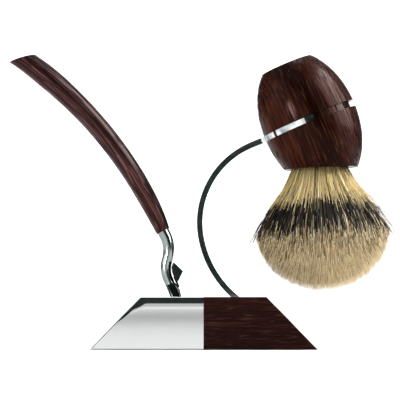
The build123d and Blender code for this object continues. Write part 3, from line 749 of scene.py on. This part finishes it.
def neck_mesh():
    """The neck as a tube that tapers along its line."""
    points, headings = neck_line()
    runs = np.concatenate(([0], np.cumsum([np.linalg.norm(b - a) for a, b in zip(points, points[1:])])))
    sides = 48
    rows = []
    for (x, z), heading, run in zip(points, headings, runs):
        radius = NECK_TOP_RADIUS + (NECK_END_RADIUS - NECK_TOP_RADIUS) * run / runs[-1]
        across = np.array((math.cos(math.radians(heading)), 0.0, math.sin(math.radians(heading))))
        for turn in np.linspace(0, 2 * math.pi, sides, endpoint=False):
            outward = across * math.cos(turn) + np.array((0.0, math.sin(turn), 0.0))
            rows.append(np.array((x, 0.0, z)) + radius * outward)
    faces = tube_faces(len(points), sides)
    mesh = bpy.data.meshes.new("neck_bar")
    mesh.from_pydata([tuple(row) for row in rows], [], faces)
    mesh.polygons.foreach_set("use_smooth", [True] * (len(faces) - 2) + [False] * 2)
    work = bmesh.new()
    work.from_mesh(mesh)
    bmesh.ops.recalc_face_normals(work, faces=work.faces)
    work.to_mesh(mesh)
    work.free()
    mesh.set_sharp_from_angle(angle=math.radians(40))
    return mesh


neck_bar = bpy.data.objects.new("neck_bar", neck_mesh())
scene.collection.objects.link(neck_bar)
neck_bar.data.materials.append(finishes["razor_neck"])
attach(neck_bar, "razor")
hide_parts("razor_neck")


# ---- hair: a core under thousands of single hairs ----
HAIR_TOP = np.array((0.0523, 0.0, 0.0809))
HAIR_LEAN = math.radians(2.7)
HAIR_DOWN = np.array((math.sin(HAIR_LEAN), 0.0, -math.cos(HAIR_LEAN)))
HAIR_SIDE = np.array((math.cos(HAIR_LEAN), 0.0, math.sin(HAIR_LEAN)))
HAIR_DEPTH = np.array((0.0, 1.0, 0.0))
DOME_CENTRE = 0.0308
DOME_RADIUS = 0.0288
DOME_DEPTH = 0.0243
KNOT_RADIUS = 0.0122


def fanned(drop, root, tip, tip_drop, rise=0.0):
    """Distance from the axis of a hair that leaves the socket at root and opens out to tip.
    Outer hairs (rise 0) flare first and then hang; hairs near the axis run straight."""
    share = np.clip(drop / tip_drop, -0.1, 1.0)
    straight = np.maximum(share, 0) ** 1.3 + np.minimum(share, 0)
    bowed = np.sin(0.5 * math.pi * np.clip(share, 0, 1)) + np.minimum(share, 0)
    skirted = np.clip(share, 0, 1) ** 2 * (3 - 2 * np.clip(share, 0, 1))
    flare = 0.42 * bowed + 0.58 * skirted
    return root + (tip - root) * (flare + (straight - flare) * rise**0.6)


def hair_place(drop, reach, turn):
    """World points of hairs at a drop, a radius and an angle round the hair's axis."""
    side = HAIR_SIDE[None, :] * (reach * np.cos(turn))[:, None]
    depth = HAIR_DEPTH[None, :] * (reach * np.sin(turn))[:, None]
    return HAIR_TOP[None, :] + HAIR_DOWN[None, :] * drop[:, None] + side + depth


def mesh_piece(name, points, faces, materials, indices=None):
    """One smooth-shaded piece of the hair; indices gives the material of each face."""
    mesh = bpy.data.meshes.new(name)
    mesh.from_pydata(points.tolist(), [], faces)
    for made in materials:
        mesh.materials.append(made)
    if indices is not None:
        mesh.polygons.foreach_set("material_index", indices)
    mesh.polygons.foreach_set("use_smooth", [True] * len(mesh.polygons))
    mesh.update()
    obj = bpy.data.objects.new(name, mesh)
    scene.collection.objects.link(obj)
    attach(obj, "brush")
    return obj


def hair_finish(name, colour, shine=0.3):
    return flat_finish(name, colour, 0.5, Specular_IOR_Level=shine)


root_tones = [
    hair_finish("hair_root_a", (0.88, 0.67, 0.28)),
    hair_finish("hair_root_b", (1.0, 0.83, 0.44)),
    hair_finish("hair_root_c", (0.11, 0.062, 0.022)),
]
band_tones = [
    hair_finish("hair_band_a", (0.007, 0.005, 0.004), shine=0.12),
    hair_finish("hair_band_b", (0.018, 0.012, 0.008), shine=0.12),
    hair_finish("hair_band_c", (0.1, 0.067, 0.035)),
]
tip_tones = [
    hair_finish("hair_tip_a", (0.84, 0.63, 0.32)),
    hair_finish("hair_tip_b", (1.0, 0.86, 0.56)),
    # a dark tip tone: partly real dark hairs, partly painted shade between hairs
    hair_finish("hair_tip_c", (0.09, 0.055, 0.025)),
]
tones = root_tones + band_tones + tip_tones


def strands(name, count, seed, stray=False):
    """One piece of separate tapered hairs, each three-sided, banded from root to tip."""
    random = np.random.default_rng(seed)
    turn = random.uniform(0, 2 * math.pi, count)
    rise = random.uniform(0, 0.12 if stray else 1, count)
    share = np.sqrt(1 - rise**2)
    clump = (
        0.5 * np.sin(13 * turn + 5 * share)
        + 0.35 * np.sin(29 * turn - 11 * share + 1.3)
        + 0.3 * np.sin(53 * turn + 23 * share + 0.4)
    )
    shorter = np.where(random.uniform(0, 1, count) < 0.5, random.uniform(0.0, 0.004, count), 0.0)
    longer = random.normal(0.0001, 0.0003, count) + 0.0002 * clump - shorter
    longer = longer + (1 - rise) ** 8 * random.uniform(-0.0012, 0.001, count)
    if stray:
        longer = random.uniform(0.001, 0.0045, count)
    tip = (DOME_RADIUS + longer) * share + 0.0004
    tip_drop = DOME_CENTRE + (DOME_DEPTH + longer) * rise
    root = KNOT_RADIUS * np.clip(np.arccos(rise) / (math.pi / 2), 0, 1) ** 1.4
    # where the dark band of each hair starts and ends
    kind = random.uniform(0, 1, count)
    left = np.cos(turn)
    spread = random.uniform(0, 1, count)
    band_start = np.where(
        kind < 0.68,
        0.0145 + random.normal(0, 0.0016, count),
        np.where(kind < 0.9, 0.006 + 0.008 * spread, 0.016 + 0.004 * spread),
    )
    band_start = band_start + 0.0006 * clump + 0.0012 * np.abs(left)
    kind = random.uniform(0, 1, count)
    spread = random.uniform(0, 1, count)
    band_end = np.where(
        kind < 0.55,
        0.0286 + random.normal(0, 0.002, count),
        np.where(kind < 0.83, 0.029 + 0.012 * spread**1.4, 0.0205 + 0.007 * spread),
    )
    band_end = band_end - 0.0014 * left + 0.0008 * clump
    bare = random.uniform(0, 1, count) < 0.05
    band_end = np.where(bare, band_start + 0.0008, band_end)
    band_end = np.minimum(band_end, tip_drop - 0.0012)
    band_start = np.minimum(band_start, band_end - 0.001)
    # the drops at which a hair changes width or tone
    start = np.full(count, -0.002)
    stations = [
        start,
        start + 0.55 * (band_start - start),
        band_start,
        band_end,
        band_end + 0.5 * (tip_drop - band_end),
        tip_drop,
    ]
    zones = [0, 0, 1, 2, 2]
    thin = random.uniform(0.65, 1.1, count) * np.where(bare, 0.75, 1.0) * (0.6 if stray else 1.0)
    widths = [0.00012, 0.00013, 0.00014, 0.00013, 0.0001, 0.00002]
    # how far each hair strays from its own line
    drift_turn = random.normal(0, 0.025, count) * np.where(bare, 7.0, 1.0) + 0.012 * clump
    drift_out = random.normal(0, 0.0003, count) + (random.uniform(-0.001, 0.0045, count) if stray else 0)
    spin = random.uniform(0, 2 * math.pi, count)
    outward = HAIR_SIDE[None, :] * np.cos(turn)[:, None] + HAIR_DEPTH[None, :] * np.sin(turn)[:, None]
    sideways = -HAIR_SIDE[None, :] * np.sin(turn)[:, None] + HAIR_DEPTH[None, :] * np.cos(turn)[:, None]
    rings = []
    for station, width in zip(stations, widths):
        run = np.clip(station / 0.05, 0, 1.2)
        reach = fanned(station, root, tip, tip_drop, rise) + drift_out * run
        centre = hair_place(station, reach, turn + drift_turn * run**1.5)
        for corner in range(3):
            angle = spin + corner * 2 * math.pi / 3
            spoke = outward * np.cos(angle)[:, None] + sideways * np.sin(angle)[:, None]
            rings.append(centre + (width * thin)[:, None] * spoke)
    points = np.stack(rings, axis=1).reshape(-1, 3)
    # the share of each zone's three tones
    shares = ((0.45, 0.42, 0.13), (0.64, 0.3, 0.06), (0.55, 0.45, 0.0))
    tone = np.stack([random.choice(3, count, p=zone_shares) for zone_shares in shares])
    # dark tips go more often to the outer, flared hairs: partly real dark hairs, partly painted shade
    # between them
    tone[2] = np.where(random.uniform(0, 1, count) < 0.04 + 0.34 * (1 - rise) ** 1.3, 2, tone[2])
    faces, indices = strand_faces(count, zones, tone)
    return mesh_piece(name, points, faces, tones, indices)


def strand_faces(count, zones, tone):
    """The faces of three-sided hairs and the material of each; zones gives the zone of each length."""
    per_hair = 3 * (len(zones) + 1)
    faces, indices = [], []
    for hair in range(count):
        base = hair * per_hair
        for step, zone in enumerate(zones):
            for corner in range(3):
                a = base + 3 * step + corner
                b = base + 3 * step + (corner + 1) % 3
                faces.append((a, b, b + 3, a + 3))
                indices.append(3 * zone + int(tone[zone, hair]))
        last = base + per_hair - 3
        faces.append((base + 2, base + 1, base))
        indices.append(int(tone[0, hair]))
        faces.append((last, last + 1, last + 2))
        indices.append(6 + int(tone[2, hair]))
    return faces, indices


def core():
    """The closed mass of hair that the single hairs lie on."""
    inset = 0.0028
    dome_drops = DOME_CENTRE + (DOME_DEPTH - inset) * np.sin(np.linspace(0.06, math.pi / 2, 22))
    drops = np.concatenate((np.linspace(-0.004, DOME_CENTRE, 26), dome_drops))
    sides = 96
    turns = np.linspace(0, 2 * math.pi, sides, endpoint=False)
    points = []
    for drop in drops:
        reach = fanned(drop, KNOT_RADIUS, DOME_RADIUS, DOME_CENTRE) - inset
        if drop > DOME_CENTRE:
            depth = (drop - DOME_CENTRE) / (DOME_DEPTH - inset)
            reach = (DOME_RADIUS - inset) * math.sqrt(max(0.0, 1 - depth**2)) + 0.00002
        points.append(hair_place(np.full(sides, drop), np.full(sides, reach), turns))
    return mesh_piece("hair_core", np.concatenate(points), tube_faces(len(drops), sides), [core_finish()])


def core_finish():
    made, tree, shader = principled("hair_core")
    place = own_place(tree)
    down = node(tree, "ShaderNodeVectorMath", operation="SUBTRACT")
    feed(tree, place, down.inputs[0])
    down.inputs[1].default_value = tuple(HAIR_TOP)
    along = node(tree, "ShaderNodeVectorMath", operation="DOT_PRODUCT")
    feed(tree, down.outputs[0], along.inputs[0])
    along.inputs[1].default_value = tuple(HAIR_DOWN)
    ragged = noise(tree, mapped(tree, place, (900, 900, 120)), 1.0, 2.0)
    shift = node(tree, "ShaderNodeMath", operation="MULTIPLY_ADD")
    feed(tree, ragged, shift.inputs[0])
    shift.inputs[1].default_value = 0.008
    feed(tree, along.outputs["Value"], shift.inputs[2])
    span = node(tree, "ShaderNodeMath", operation="MULTIPLY")
    feed(tree, shift.outputs[0], span.inputs[0])
    span.inputs[1].default_value = 1 / 0.06
    # the hair's own root, band and tip tones, darkened well below the hairs' as painted shade in the gaps
    # between hairs
    colour = ramp(
        tree,
        span.outputs[0],
        [
            (0.0, (0.22, 0.14, 0.055)),
            (0.27, (0.2, 0.12, 0.05)),
            (0.33, (0.01, 0.007, 0.006)),
            (0.5, (0.01, 0.007, 0.006)),
            (0.58, (0.14, 0.095, 0.045)),
            (1.0, (0.3, 0.22, 0.11)),
        ],
    )
    feed(tree, colour, shader.inputs["Base Color"])
    shader.inputs["Roughness"].default_value = 0.8
    return made


hair_core = core()
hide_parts("brush_hair")
hair_count = 4400
for part in range(4):
    strands(f"hair_strands_{part + 1}", hair_count, 100 + part)
strands("hair_strays", 220, 200, stray=True)
